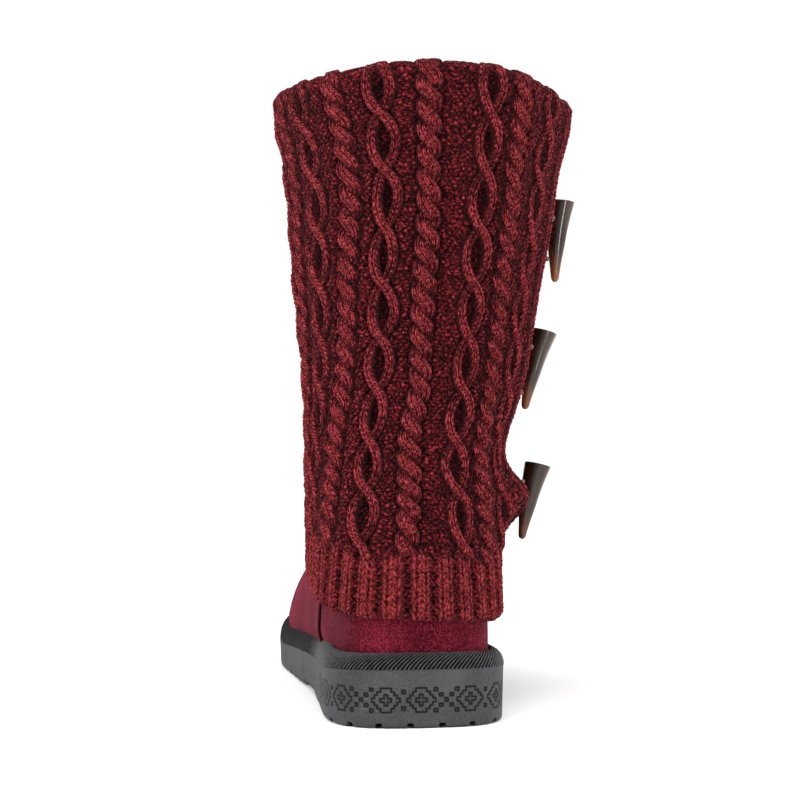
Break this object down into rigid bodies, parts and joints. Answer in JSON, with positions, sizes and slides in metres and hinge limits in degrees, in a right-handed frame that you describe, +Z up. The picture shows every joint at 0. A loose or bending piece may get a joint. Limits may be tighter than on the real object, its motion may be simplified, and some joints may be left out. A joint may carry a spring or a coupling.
{
  "type": "knit sleeve boot",
  "caption": "Mid-calf pull-on boot with a suede foot, a cable-knit sleeve over the shaft, horn toggles in cord loops and a wedge rubber sole.",
  "frame": {"origin": "flat contact centre of the heel on the floor, 40 mm in front of the back of the sole", "axes": "+Z up out of the collar, toe towards -Y, medial (inner, arch) side towards +X, lateral side with the toggles towards -X"},
  "size_m": [0.1445, 0.282, 0.2943],
  "materials": {
    "sole_rubber": "matt dark grey moulded rubber",
    "rand_binding": "ribbed black binding, matt",
    "suede": "napped wine-red suede",
    "footbed": "plain woven lining over foam",
    "knit": "chunky cable knit in marled burgundy yarn",
    "horn": "polished horn with an amber tip",
    "cord": "round raspberry cord, satin"
  },
  "bodies": {
    "root": {"outsole": "sole_rubber", "rand": "rand_binding", "upper": "suede", "insole": "footbed", "knit_sleeve": "knit", "toggle_1": "horn", "toggle_2": "horn", "toggle_3": "horn", "toggle_shank_1": "cord", "toggle_shank_2": "cord", "toggle_shank_3": "cord", "toggle_loop_1": "cord", "toggle_loop_2": "cord", "toggle_loop_3": "cord"}
  },
  "joints": []
}
